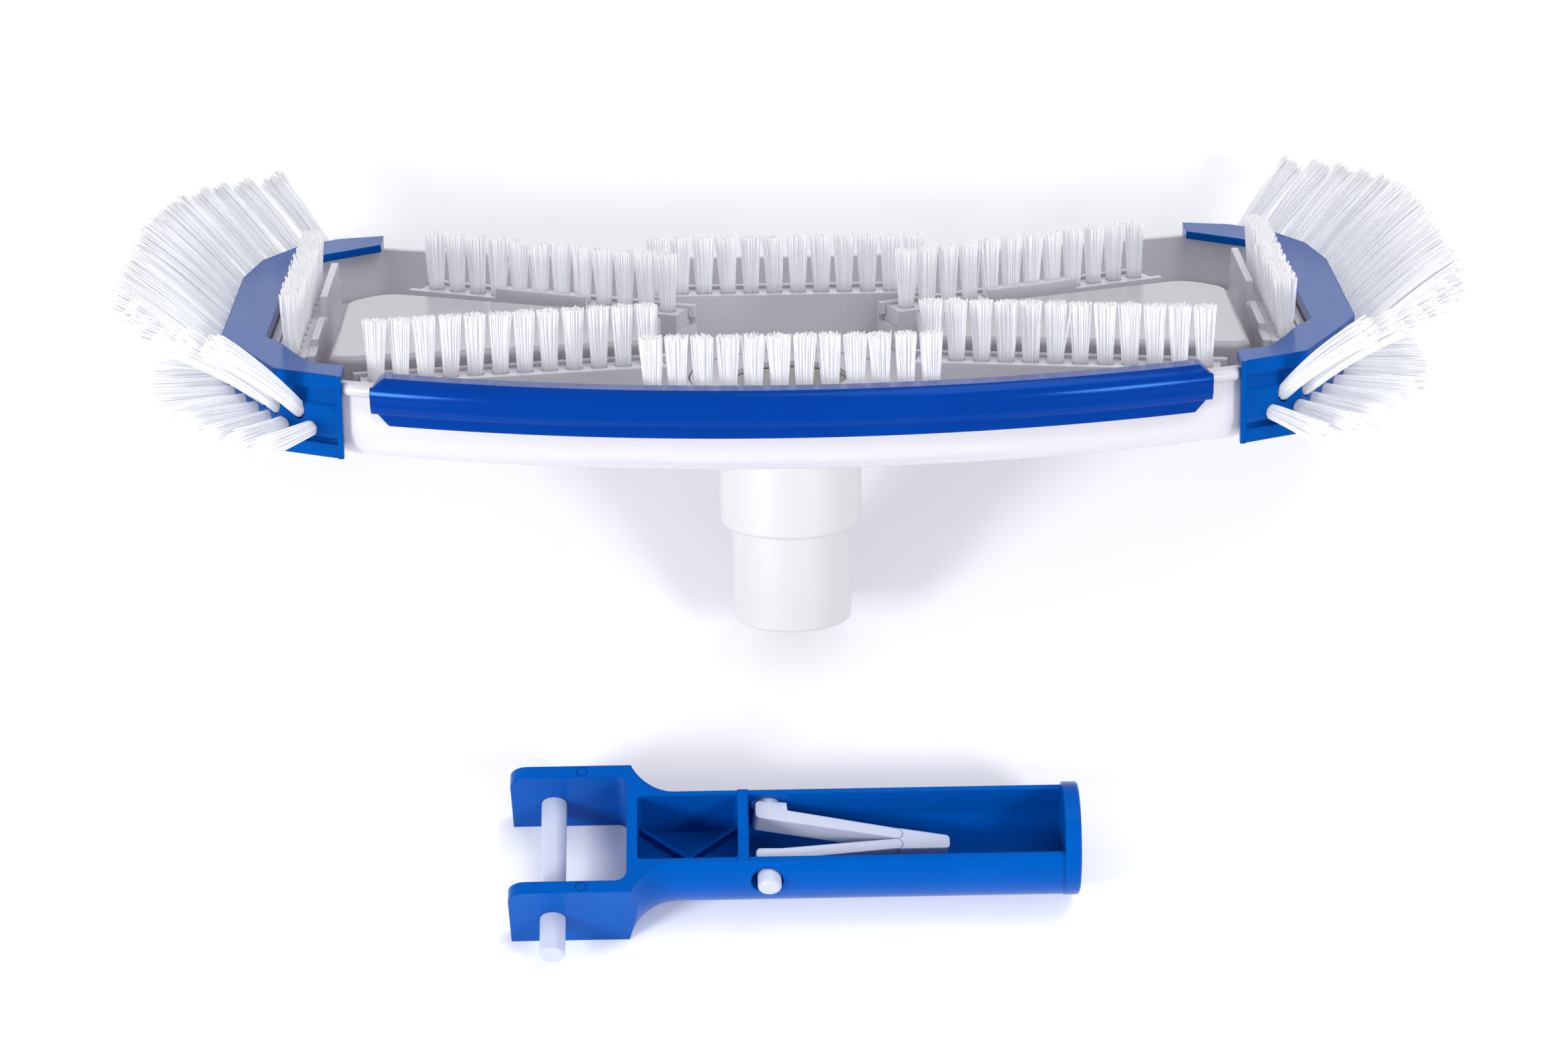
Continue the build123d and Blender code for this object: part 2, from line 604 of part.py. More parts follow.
def make_side_holder(side):
    """Blue C-shaped holder round one end of the body, with the sockets of its two fans."""
    with BuildPart() as holder:
        add(band(HOLDER_OUTER + HOLDER_INNER[::-1], side, HOLDER_LIP_Z, HOLDER_TOP))
        add(band([(HOLDER_X - CORE_INSET, -49.5), *HOLDER_OUTER[1:]], side, HOLDER_BOTTOM, HOLDER_LIP_Z, CORE_INSET))
        add(band(HOLDER_OUTER, side, HOLDER_BOTTOM, BASE_TOP))
        add(band(HOLDER_OUTER, side, FLANGE_BOTTOM, HOLDER_LIP_Z))
        bulge = [(HOLDER_X, -47.1), *HOLDER_OUTER[1:-1], (FAN_BAND_X, 105.5)]
        add(band(bulge, side, *FAN_BAND, FAN_INSET, FAN_BAND_R))
        end_x = side * (HOLDER_X + END_PLATE / 2)
        with BuildSketch(Plane.XY.offset(HOLDER_BOTTOM)):
            with Locations((end_x, (HOLDER_OUTER[0][1] + HOLDER_INNER[0][1]) / 2)):
                Rectangle(END_PLATE, HOLDER_INNER[0][1] - HOLDER_OUTER[0][1])
        extrude(amount=HOLDER_TOP - HOLDER_BOTTOM)
        # Clear the body out of it, and square off the two ends.
        with BuildSketch(Plane.XY.offset(HOLDER_BOTTOM)):
            add(body_plan(-HOLDER_GAP))
        extrude(amount=HOLDER_LIP_Z - HOLDER_BOTTOM, mode=Mode.SUBTRACT)
        with BuildSketch(Plane.XY.offset(HOLDER_BOTTOM)):
            with Locations((0, 30)):
                Rectangle(2 * HOLDER_X, 200)
        extrude(amount=HOLDER_TOP - HOLDER_BOTTOM, mode=Mode.SUBTRACT)
        for row in FANS:
            for plane, _ in fan_rows(side, row):
                with Locations(plane):
                    Cylinder(FAN_ROOT_R + 0.1, 2 * FAN_SOCKET, mode=Mode.SUBTRACT)
    return holder


def make_side_tufts(side, row):
    """One fan of tufts round a holder."""
    tip_r = FANS[row][-1]
    with BuildPart() as fan:
        for plane, length in fan_rows(side, row):
            with Locations(plane.offset(-FAN_SOCKET)):
                Cylinder(FAN_ROOT_R, FAN_SOCKET, align=(Align.CENTER, Align.CENTER, Align.MIN))
            with Locations(plane):
                Cone(FAN_ROOT_R, tip_r, length, align=(Align.CENTER, Align.CENTER, Align.MIN))
    return fan


# ---------------- handle ----------------
BARREL_AXIS = Axis((0, HANDLE_Y, BARREL_R), (1, 0, 0))
TOP_Z = BARREL_R + CUT


def across(x):
    """Plane square to the barrel at x: local x towards the rear, local y up, from the axis."""
    return Plane(origin=(x, HANDLE_Y, BARREL_R), x_dir=(0, 1, 0), z_dir=(1, 0, 0))


def handle_block(x0, x1, half, z0, z1):
    """A block over the handle's middle line."""
    with BuildPart() as block:
        with BuildSketch(across(x0)):
            with Locations((0, (z0 + z1) / 2 - BARREL_R)):
                Rectangle(2 * half, z1 - z0)
        extrude(amount=x1 - x0)
    return block.part


def make_handle_body():
    """Blue handle: fork, neck, pocket, open barrel and end wall."""
    with BuildPart() as handle:
        with BuildSketch(across(NECK_END_X)):
            Circle(BARREL_R)
        extrude(amount=CHANNEL_END_X - NECK_END_X)
        # Neck: flares from the barrel to the fork's full width in a hollow curve.
        with BuildSketch(Plane.XZ.offset(-HANDLE_Y)):
            with BuildLine():
                Polyline((NECK_END_X, BARREL_R), (FORK_X[1], BARREL_R), (FORK_X[1], 2 * BARREL_R + 11))
                ThreePointArc((FORK_X[1], 2 * BARREL_R + 11), (-41.2, 2 * BARREL_R + 3.9),
                              (NECK_END_X, 2 * BARREL_R))
                Line((NECK_END_X, 2 * BARREL_R), (NECK_END_X, BARREL_R))
            make_face()
        revolve(axis=BARREL_AXIS)
        add(handle_block(FORK_X[0], FORK_X[1], FORK_HALF, 0, TOP_Z))
        # Everything so far stays between the floor and the cut top, and inside the fork's width.
        with BuildSketch(across(FORK_X[0] - 1)):
            with Locations((0, TOP_Z / 2 - BARREL_R)):
                Rectangle(2 * FORK_HALF, TOP_Z)
        extrude(amount=HANDLE_END_X - FORK_X[0] + 2, mode=Mode.INTERSECT)
        # Round end wall, a little larger than the barrel above.
        with BuildSketch(across(CHANNEL_END_X)):
            with Locations((0, 0.5)):
                Circle(BARREL_R + 0.5)
        extrude(amount=HANDLE_END_X - CHANNEL_END_X)
        fillet(handle.faces().sort_by(Axis.X)[-1].edges(), 0.8)
        # Fork gap with rounded inner corners.
        with BuildSketch(Plane.XY):
            with Locations(((FORK_X[0] - 10 + FORK_X[1]) / 2, HANDLE_Y)):
                RectangleRounded(FORK_X[1] - FORK_X[0] + 10, 2 * FORK_GAP, 3.0)
        extrude(amount=TOP_Z, mode=Mode.SUBTRACT)
        fork_tips = handle.edges().filter_by(Axis.Y).group_by(Axis.X)[0].group_by(Axis.Z)[-1]
        fillet(fork_tips, 4.5)
        # Pocket with a cross of low ribs.
        with BuildSketch(Plane.XY.offset(POCKET_FLOOR)):
            with Locations(((WEB_END_X + POCKET_END_X) / 2, HANDLE_Y)):
                RectangleRounded(POCKET_END_X - WEB_END_X, 2 * CHANNEL_HALF, 1.2)
        extrude(amount=TOP_Z - POCKET_FLOOR, mode=Mode.SUBTRACT)
        rib_run = degrees(atan2(2 * CHANNEL_HALF, POCKET_END_X - WEB_END_X))
        for turn in (rib_run, -rib_run):
            with BuildSketch(Plane.XY.offset(POCKET_FLOOR - 1)):
                with Locations(Location(((WEB_END_X + POCKET_END_X) / 2, HANDLE_Y), turn)):
                    Rectangle(31.0, 1.2)
            extrude(amount=3.5)
        # Channel: straight walls over a round floor.
        with BuildSketch(across(PARTITION_END_X)):
            Circle(CHANNEL_HALF)
            with Locations((0, CUT / 2)):
                Rectangle(2 * CHANNEL_HALF, CUT)
        extrude(amount=CHANNEL_END_X - PARTITION_END_X, mode=Mode.SUBTRACT)
        # Low collar over the partition, and the seat under the clip's bend.
        add(handle_block(POCKET_END_X, PARTITION_END_X, 10.9, TOP_Z - 1, TOP_Z + 0.5))
        with BuildSketch(Plane.XY.offset(3)):
            with Locations((APEX_X, HANDLE_Y)):
                Rectangle(3.0, 5.0)
        extrude(amount=APEX_Z - ARM_H / 2 - 3 - 0.4)
        # Holes for the pivot pin and the snap buttons.
        with BuildSketch(Plane.XZ.offset(-HANDLE_Y)):
            with Locations((PIN_X, PIN_Z)):
                Circle(PIN_BORE_R)
            with Locations((BUTTON_X - BUTTON_SLOT / 2, BUTTON_Z)):
                SlotCenterToCenter(BUTTON_SLOT, 2 * BUTTON_R + 1)
        extrude(amount=2 * FORK_HALF, both=True, mode=Mode.SUBTRACT)
        # Shallow ejector marks on top of the fork's two ears.
        with BuildSketch(Plane.XY.offset(TOP_Z)):
            with Locations(*[(-56.3, HANDLE_Y + s * (FORK_HALF + FORK_GAP) / 2) for s in (-1, 1)]):
                Circle(1.5)
                Circle(1.25, mode=Mode.SUBTRACT)
        extrude(amount=-0.2, mode=Mode.SUBTRACT)
    return handle


def make_pivot_pin():
    """White pin through the fork, drawn part of the way out towards the front."""
    with BuildPart() as pin:
        with BuildSketch(Plane.XZ.offset(-(HANDLE_Y + FORK_HALF))):
            with Locations((PIN_X, PIN_Z)):
                Circle(PIN_R)
        extrude(amount=PIN_LEN)
        fillet(pin.edges().filter_by(GeomType.CIRCLE), 0.6)
    return pin


CLIP_RUN = BUTTON_X - APEX_X
CLIP_SLOPE = atan2(BUTTON_Z - APEX_Z, -CLIP_RUN)
CLIP = Plane(origin=(APEX_X, HANDLE_Y, APEX_Z), x_dir=(cos(CLIP_SLOPE), 0, -sin(CLIP_SLOPE)),
             z_dir=(sin(CLIP_SLOPE), 0, cos(CLIP_SLOPE)))
CLIP_LEN = sqrt(CLIP_RUN**2 + (BUTTON_Z - APEX_Z)**2)


def make_clip_bend():
    """The closed end of the V clip, with the two hollows that the arms flex in."""
    with BuildPart() as bend:
        with BuildSketch(CLIP.offset(-ARM_H / 2)) as plan:
            with BuildLine():
                Polyline((BEND_END, -BEND_HALF[0]), (BEND_END, BEND_HALF[0]), (ARM_ROOT[0], BEND_HALF[1]),
                         (ARM_ROOT[0], -BEND_HALF[1]), close=True)
            make_face()
            fillet(plan.vertices().group_by(Axis.X)[-1], 1.2)
            with Locations((ARM_ROOT[0], ARM_ROOT[1]), (ARM_ROOT[0], -ARM_ROOT[1])):
                Circle(ARM_ROOT_R + ARM_GAP, mode=Mode.SUBTRACT)
        extrude(amount=ARM_H)
    return bend


def make_clip_arm(way):
    """One arm of the V clip with its head and snap button; way is the side it springs to."""
    head_y = way * (CHANNEL_HALF - 2.6)
    button_end = REAR_BUTTON if way > 0 else BARREL_R + BUTTON_OUT - 0.5
    neck, heel, outer = ARM_EDGES[way]
    with BuildPart() as arm:
        with BuildSketch(CLIP.offset(-ARM_H / 2)) as plan:
            with BuildLine():
                Polyline((ARM_ROOT[0], way * (ARM_ROOT[1] + ARM_ROOT_R)), (ARM_ROOT[0], way * (ARM_ROOT[1] - ARM_ROOT_R)),
                         (-CLIP_LEN + 3, head_y - neck * way), (-CLIP_LEN - 3.8, head_y - heel * way),
                         (-CLIP_LEN - 3.8, head_y + 1.9 * way), (-CLIP_LEN + 4.4, head_y + 1.9 * way),
                         (-CLIP_LEN + 4.6, head_y + outer * way), close=True)
            make_face()
            fillet(plan.vertices().group_by(Axis.X)[0], 1.3)
            with Locations((ARM_ROOT[0], way * ARM_ROOT[1])):
                Circle(ARM_ROOT_R)
        extrude(amount=ARM_H)
        with BuildSketch(Plane(origin=CLIP.from_local_coords((-CLIP_LEN, head_y, 0)),
                               x_dir=CLIP.x_dir, z_dir=(0, way, 0))):
            Circle(BUTTON_R)
        extrude(amount=button_end - abs(head_y))
        tip = arm.faces().sort_by(Axis.Y)[-1 if way > 0 else 0]
        fillet(tip.edges(), 1.4)
    return arm


# ---------------- the set ----------------
def make_head():
    """All pieces of the head by name, in the head's own frame."""
    pieces = {
        "body_shell": make_body_shell(),
        "suction_plate": make_suction_plate(),
        "hose_cuff": make_hose_cuff(),
        "swivel_seal": make_swivel_seal(),
        "swivel_ring": make_swivel_ring(),
        "bumper_strip": make_bumper(),
        "pod_screws": make_pod_screws(),
        "handle_bracket": make_handle_bracket(),
        "bracket_screws": make_bracket_screws(),
    }
    for name in STRIPS:
        pieces["brush_bar_" + name] = make_brush_bar(name)
        pieces["brush_tufts_" + name] = make_brush_tufts(name)
    for word, side in SIDES.items():
        pieces["weight_pod_" + word] = make_weight_pod(side)
        pieces["weight_" + word] = make_weight(side)
        pieces["side_brush_holder_" + word] = make_side_holder(side)
        for row in FANS:
            pieces[f"side_tufts_{row}_{word}"] = make_side_tufts(side, row)
    return pieces


def make_handle():
    """All pieces of the handle by name, where they lie on the floor."""
    return {
        "handle_body": make_handle_body(),
        "pivot_pin": make_pivot_pin(),
        "clip_bend": make_clip_bend(),
        "clip_arm_front": make_clip_arm(-1),
        "clip_arm_rear": make_clip_arm(1),
    }


def write_step(label, solid):
    """Label a finished piece and write its STEP."""
    solid.label = label
    export_step(solid, f"parts/{label}.step")


os.makedirs("parts", exist_ok=True)
for label, piece in make_head().items():
    write_step(label, HEAD.location * piece.part)
for label, piece in make_handle().items():
    write_step(label, piece.part)
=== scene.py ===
import json
from math import cos, pi, radians, sin

import bmesh
import bpy
import numpy as np
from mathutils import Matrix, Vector


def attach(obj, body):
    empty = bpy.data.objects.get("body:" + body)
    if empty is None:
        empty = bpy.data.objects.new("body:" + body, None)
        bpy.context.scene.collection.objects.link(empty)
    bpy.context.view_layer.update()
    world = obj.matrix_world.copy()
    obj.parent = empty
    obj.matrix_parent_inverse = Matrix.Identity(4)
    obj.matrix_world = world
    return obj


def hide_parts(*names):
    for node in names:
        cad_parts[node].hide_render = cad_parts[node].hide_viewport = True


# Manual pool vacuum head, upside down, with its pole handle in front of it.
#
# The CAD gives every hard part. This script adds the brushes strand by strand, gives every piece
# its surface, with edges rounded in the shading, and sets up the floor, the lights and the camera.
# Metres throughout, in the CAD's own frame.

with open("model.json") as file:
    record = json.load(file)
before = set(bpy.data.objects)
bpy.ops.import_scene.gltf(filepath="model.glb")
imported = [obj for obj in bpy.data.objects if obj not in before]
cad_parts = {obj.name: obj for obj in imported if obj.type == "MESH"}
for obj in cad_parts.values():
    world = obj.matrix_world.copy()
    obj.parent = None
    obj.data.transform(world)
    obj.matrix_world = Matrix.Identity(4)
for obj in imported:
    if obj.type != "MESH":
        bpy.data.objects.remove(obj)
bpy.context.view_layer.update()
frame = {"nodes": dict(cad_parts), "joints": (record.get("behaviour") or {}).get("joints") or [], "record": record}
NODES = frame["nodes"]
RNG = np.random.default_rng(14)

# The head's own up direction: the way its brushes point, against the cuff's turning axis.
SWIVEL = next(j for j in frame["joints"] if j["name"] == "cuff_swivel")
HEAD_UP = np.array(-Vector(SWIVEL["axis"]).normalized())


# ---------------- meshes ----------------
WELD = 1e-6  # points closer than this are one point


def islands(mesh):
    """The separate solids of a mesh, each as an array of its points, in the mesh's own order."""
    solid = bmesh.new()
    solid.from_mesh(mesh)
    bmesh.ops.remove_doubles(solid, verts=solid.verts, dist=WELD)
    solid.verts.index_update()
    seen = set()
    groups = []
    for start in solid.verts:
        if start in seen:
            continue
        group, newest = set(), {start}
        while newest:
            group |= newest
            newest = {e.other_vert(v) for v in newest for e in v.link_edges} - group
        seen |= group
        groups.append(np.array([v.co for v in sorted(group, key=lambda v: v.index)]))
    solid.free()
    return groups


def quad_mesh(name, points, quads, values, material):
    """A smooth object of quads, with a number from 0 to 1 on each point."""
    mesh = bpy.data.meshes.new(name)
    mesh.vertices.add(len(points))
    mesh.vertices.foreach_set("co", points.astype(np.float32).ravel())
    mesh.loops.add(quads.size)
    mesh.loops.foreach_set("vertex_index", quads.astype(np.int32).ravel())
    mesh.polygons.add(len(quads))
    mesh.polygons.foreach_set("loop_start", np.arange(0, quads.size, 4, dtype=np.int32))
    mesh.polygons.foreach_set("use_smooth", np.ones(len(quads), bool))
    mesh.update(calc_edges=True)
    mesh.validate()
    strand = mesh.attributes.new("strand", "FLOAT", "POINT")
    strand.data.foreach_set("value", values.astype(np.float32))
    mesh.materials.append(material)
    piece = bpy.data.objects.new(name, mesh)
    bpy.context.scene.collection.objects.link(piece)
    return piece


# ---------------- tufts ----------------
SAME_LEVEL = WELD * 20    # points of a tuft this close along its axis are on one level
PARALLEL = 0.99           # cosine above which a tuft counts as parallel to the head's up direction
SIDEWAYS = np.array((1.0, 0, 0))


class Tuft:
    """One tuft as the CAD has it: foot of the flare, direction, length, and radius at both ends."""

    def __init__(self, points):
        middle = points.mean(axis=0)
        axis = np.linalg.svd(points - middle)[2][0]
        along = (points - middle) @ axis
        off = np.linalg.norm(points - middle - np.outer(along, axis), axis=1)
        high, low = along > along.max() - SAME_LEVEL, along < along.min() + SAME_LEVEL
        if off[high].mean() < off[low].mean():
            axis, along = -axis, -along
        levels = np.unique(np.round(along, 5))
        foot, tip = levels[1], levels[-1]
        self.axis = axis
        self.length = tip - foot
        self.foot = middle + axis * foot
        self.foot_r = off[np.abs(along - foot) < SAME_LEVEL].mean()
        self.tip_r = off[np.abs(along - tip) < SAME_LEVEL].mean()
        side = np.cross(axis, HEAD_UP) if abs(axis @ HEAD_UP) < PARALLEL else SIDEWAYS
        self.side = side / np.linalg.norm(side)
        self.over = np.cross(self.side, axis)


# How strands spread over a tuft, in shares of its radius.
FOOT_FILL = 0.93          # how much of the foot the strands fill
FOOT_SCATTER = 0.03
CLUMP_SCATTER = 0.1
TIP_SCATTER = 0.05
STRAY_REACH = (1.2, 1.6)  # how many times further out the tips of stray strands stand
CLUMPS = 7                # groups of strands whose tips draw together
CLUMP_PULL = 0.07         # share of the way that a tip moves to the middle of its clump
# How they run along it, in shares of its length.
LONGEST = 1.02
BOW = 0.004               # how far the middle of a strand bows to one side
FLARE_POWER = 1.1         # above 1, strands part more slowly near the foot
SWAY_POWER = 1.6          # above 1, a swaying tuft bends more towards its tips
SET_IN = 0.0008           # metres by which strands start below the foot


def disc_spots(count):
    """Evenly spread spots in a unit disc."""
    turn = np.arange(count) * pi * (3 - 5**0.5)
    out = np.sqrt((np.arange(count) + 0.5) / count)
    return np.stack((out * np.cos(turn), out * np.sin(turn)), axis=1)


def strand_lines(tuft, count, rings, spread, lean, ragged, stray, arch=0.0):
    """Centre lines of a tuft's strands, one row of points for each.

    spread widens the tips, lean sways the tuft, ragged varies the lengths, stray is the share of
    strands that stand off from the others, and arch bows the tuft towards the head's up direction.
    """
    foot = disc_spots(count) + RNG.normal(0, FOOT_SCATTER, (count, 2))
    clumps = disc_spots(CLUMPS) + RNG.normal(0, CLUMP_SCATTER, (CLUMPS, 2))
    near = np.argmin(((foot[:, None] - clumps[None]) ** 2).sum(axis=2), axis=1)
    drawn = foot * (1 - CLUMP_PULL) + clumps[near] * CLUMP_PULL
    tip = drawn + RNG.normal(0, TIP_SCATTER, (count, 2))
    loose = RNG.random(count) < stray
    tip[loose] *= RNG.uniform(*STRAY_REACH, (loose.sum(), 1))
    uneven = 1 + RNG.normal(0, ragged, count) + RNG.normal(0, ragged / 2, CLUMPS)[near]
    lengths = np.minimum(tuft.length * uneven, tuft.length * LONGEST)
    sway = RNG.normal(0, lean, 2) * tuft.length
    steps = np.linspace(0, 1, rings)[None, :]
    across = []
    for k in range(2):
        start = foot[:, k, None] * tuft.foot_r * FOOT_FILL
        end = tip[:, k, None] * tuft.tip_r * spread
        wave = RNG.normal(0, BOW, (count, 1)) * tuft.length * np.sin(steps * pi)
        across.append(start + (end - start) * steps**FLARE_POWER + sway[k] * steps**SWAY_POWER + wave)
    across[1] += arch * tuft.length * 4 * (steps - steps**2)
    rise = lengths[:, None] * steps - SET_IN
    return (tuft.foot + rise[..., None] * tuft.axis
            + across[0][..., None] * tuft.side + across[1][..., None] * tuft.over)


SIDES = 4                              # flat sides round a strand
ASKEW = np.array((0.31, 0.17, 0.93))   # a direction that no strand runs along
FLOOR_GAP = 0.0002                     # no strand goes closer to the floor than this


def strand_tubes(lines, width):
    """A tube round each centre line, as an array of strands, rings, sides and coordinates."""
    way = lines[:, -1] - lines[:, 0]
    way /= np.linalg.norm(way, axis=1)[:, None]
    one = np.cross(way, ASKEW)
    one /= np.linalg.norm(one, axis=1)[:, None]
    two = np.cross(way, one)
    turns = [2 * pi * k / SIDES for k in range(SIDES)]
    corners = [width / 2 * (cos(turn) * one + sin(turn) * two)[:, None] for turn in turns]
    return np.stack([lines + corner for corner in corners], axis=2)


def tube_quads(rings):
    """The faces of one tube: the walls from ring to ring, and its two ends."""
    ring = np.arange(SIDES)
    after = np.roll(ring, -1)
    band = np.stack((ring, after, after + SIDES, ring + SIDES), axis=1)
    walls = [band + r * SIDES for r in range(rings - 1)]
    return np.concatenate([*walls, ring[None, ::-1], ring[None] + (rings - 1) * SIDES])


def bristles(name, node_names, body, material, count, rings, width, **shape):
    """Strands for all tufts of some CAD nodes, as one piece that stands for them."""
    lines = np.concatenate([strand_lines(Tuft(points), count, rings, **shape)
                            for node in node_names for points in islands(NODES[node].data)])
    points = strand_tubes(lines, width)
    points[..., 2] = np.maximum(points[..., 2], FLOOR_GAP)
    strands, size = len(lines), rings * SIDES
    quads = tube_quads(rings)[None] + (np.arange(strands) * size)[:, None, None]
    values = np.repeat(RNG.random(strands), size)
    piece = quad_mesh(name, points.reshape(-1, 3), quads.reshape(-1, 4), values, material)
    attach(piece, body)
    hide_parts(*node_names)


# ---------------- materials ----------------
def screen(red, green, blue):
    """A linear colour from three 0 to 255 screen values, by the sRGB curve."""
    return (*[((c / 255 + 0.055) / 1.055) ** 2.4 if c > 10 else c / 255 / 12.92
              for c in (red, green, blue)], 1.0)


def scaled(colour, by):
    """A colour made lighter or darker."""
    return (*[min(1.0, c * by) for c in colour[:3]], 1.0)


# The Mix node's sockets for colours, by place, because its other sockets have the same names.
MIX_FIRST, MIX_SECOND, MIX_RESULT = 6, 7, 2
EDGE_SAMPLES = 4


class Look:
    """A Principled material with helpers for the nodes that vary its surface."""

    def __init__(self, name, **sockets):
        self.material = bpy.data.materials.new(name)
        self.material.use_nodes = True
        self.tree = self.material.node_tree
        self.shader = self.tree.nodes["Principled BSDF"]
        self.place = self.tree.nodes.new("ShaderNodeTexCoord").outputs["Object"]
        self.normal = None
        for socket, value in sockets.items():
            self.shader.inputs[socket.replace("_", " ")].default_value = value

    def noise(self, scale, detail, stretch=(1, 1, 1), turn=(0, 0, 0)):
        """A noise from 0 to 1, with features about 1 / scale metres large."""
        mapping = self.tree.nodes.new("ShaderNodeMapping")
        mapping.inputs["Scale"].default_value = stretch
        mapping.inputs["Rotation"].default_value = turn
        noise = self.tree.nodes.new("ShaderNodeTexNoise")
        noise.inputs["Scale"].default_value = scale
        noise.inputs["Detail"].default_value = detail
        self.tree.links.new(self.place, mapping.inputs["Vector"])
        self.tree.links.new(mapping.outputs["Vector"], noise.inputs["Vector"])
        return noise.outputs["Fac"]

    def attribute(self, name):
        """A number stored on the mesh."""
        node = self.tree.nodes.new("ShaderNodeAttribute")
        node.attribute_name = name
        return node.outputs["Fac"]

    def spread(self, value, low, high, to_low, to_high):
        """A value's range moved onto another range."""
        node = self.tree.nodes.new("ShaderNodeMapRange")
        ends = {"From Min": low, "From Max": high, "To Min": to_low, "To Max": to_high}
        for socket, number in ends.items():
            node.inputs[socket].default_value = number
        self.tree.links.new(value, node.inputs["Value"])
        return node.outputs["Result"]

    def add(self, one, two):
        """The sum of two values."""
        node = self.tree.nodes.new("ShaderNodeMath")
        node.operation = "ADD"
        self.tree.links.new(one, node.inputs[0])
        self.tree.links.new(two, node.inputs[1])
        return node.outputs[0]

    def blend(self, share, one, two):
        """A colour between two colours, each a plain colour or another node's."""
        node = self.tree.nodes.new("ShaderNodeMix")
        node.data_type = "RGBA"
        self.tree.links.new(share, node.inputs["Factor"])
        for socket, colour in ((node.inputs[MIX_FIRST], one), (node.inputs[MIX_SECOND], two)):
            if isinstance(colour, tuple):
                socket.default_value = colour
            else:
                self.tree.links.new(colour, socket)
        return node.outputs[MIX_RESULT]

    def colour(self, output):
        """Drives the base colour."""
        self.tree.links.new(output, self.shader.inputs["Base Color"])

    def roughness(self, output):
        """Drives the roughness."""
        self.tree.links.new(output, self.shader.inputs["Roughness"])

    def round_edges(self, radius):
        """Rounds the sharp edges in the shading."""
        node = self.tree.nodes.new("ShaderNodeBevel")
        node.samples = EDGE_SAMPLES
        node.inputs["Radius"].default_value = radius
        self.normal = node.outputs["Normal"]

    def bump(self, height, depth):
        """Adds a bump of some depth in metres on top of those before it."""
        node = self.tree.nodes.new("ShaderNodeBump")
        node.inputs["Distance"].default_value = depth
        self.tree.links.new(height, node.inputs["Height"])
        if self.normal:
            self.tree.links.new(self.normal, node.inputs["Normal"])
        self.normal = node.outputs["Normal"]
        self.tree.links.new(self.normal, self.shader.inputs["Normal"])


# Scales of the noises in moulded plastic, in features to the metre, each with its detail.
CLOUD, SWELL, PEEL, HAIR = (45, 3), (70, 1), (1500, 2), (240, 4)
HAIR_STRETCH, HAIR_TURN = (1, 0.05, 1), (0.4, 0.3, 0.9)
CLOUD_RANGE = (0.3, 0.7)      # where nearly all of the cloud noise lies
HAIR_RANGE = (0.62, 0.74)     # the peaks of the hair noise, which are the scuffs
SCUFF_DEPTH = 0.00002


def moulded(name, colour, gloss, edge=0.0005, mottle=0.04, wave=0.00004, peel=0.000005, scuffs=0.10,
            **sockets):
    """Injection moulded plastic: faint mottling, soft waves, fine peel and thin scuffs.

    gloss is the roughness, mottle the share by which the colour varies, and scuffs the roughness
    that a scuff adds. The edges' radius and the depths of wave and peel are in metres.
    """
    look = Look(name, **sockets)
    cloud = look.noise(*CLOUD)
    look.colour(look.blend(look.spread(cloud, *CLOUD_RANGE, 0, 1),
                           scaled(colour, 1 - mottle), scaled(colour, 1 + mottle)))
    hair = look.noise(*HAIR, stretch=HAIR_STRETCH, turn=HAIR_TURN)
    scuff = look.spread(hair, *HAIR_RANGE, 0, scuffs)
    look.roughness(look.add(look.spread(cloud, *CLOUD_RANGE, gloss * 0.85, gloss * 1.2), scuff))
    look.round_edges(edge)
    look.bump(look.noise(*SWELL), wave)
    look.bump(look.noise(*PEEL), peel)
    look.bump(scuff, SCUFF_DEPTH)
    return look.material


def filament():
    """White nylon strands, each a little different from the next, with a faint painted glow that stands in for
    light passing through the tufts.
    """
    # The emission below is a painted glow: it brightens the strands as light scattered through the tufts would.
    look = Look("nylon_filament", Roughness=0.45, IOR=1.53, Specular_IOR_Level=0.5,
                Subsurface_Weight=0.7, Subsurface_Scale=0.0015, Subsurface_Radius=(1.0, 1.0, 1.1),
                Emission_Color=(0.96, 0.97, 1.0, 1.0), Emission_Strength=0.08)
    each = look.attribute("strand")
    fleck = look.noise(300, 2)
    base = look.blend(each, screen(237, 238, 244), screen(254, 254, 255))
    look.colour(look.blend(look.spread(fleck, 0.4, 0.8, 0, 0.5), base, screen(242, 243, 248)))
    look.bump(look.noise(2500, 1), 0.00001)
    return look.material


BLUE_SHEEN = (0.12, 0.4, 1.0, 1.0)
WHITE = moulded("white_moulding", screen(205, 203, 210), 0.28, mottle=0.006, wave=0.00002, scuffs=0.04)
CUFF_WHITE = moulded("cuff_moulding", screen(212, 212, 212), 0.38, mottle=0.01)
POD_GREY = moulded("pod_moulding", screen(178, 176, 182), 0.20, mottle=0.01, scuffs=0.06)
BLUE = moulded("blue_moulding", screen(0, 74, 156), 0.18, edge=0.0008, mottle=0.06, IOR=1.2,
               Specular_Tint=BLUE_SHEEN)
BUMPER_BLUE = moulded("bumper_moulding", screen(0, 51, 138), 0.16, mottle=0.05, scuffs=0.06, IOR=1.42,
                      Specular_Tint=BLUE_SHEEN)
HANDLE_BLUE = moulded("handle_moulding", screen(0, 80, 168), 0.18, edge=0.0008, mottle=0.05, IOR=1.22,
                      Specular_Tint=BLUE_SHEEN)
CLIP_WHITE = moulded("clip_moulding", screen(188, 195, 214), 0.35, mottle=0.02, Subsurface_Weight=0.15,
                     Subsurface_Scale=0.003)
RUBBER = moulded("seal_rubber", screen(22, 22, 24), 0.6)
IRON = moulded("cast_weight", screen(92, 92, 96), 0.55, mottle=0.2, peel=0.0002, Metallic=0.9)
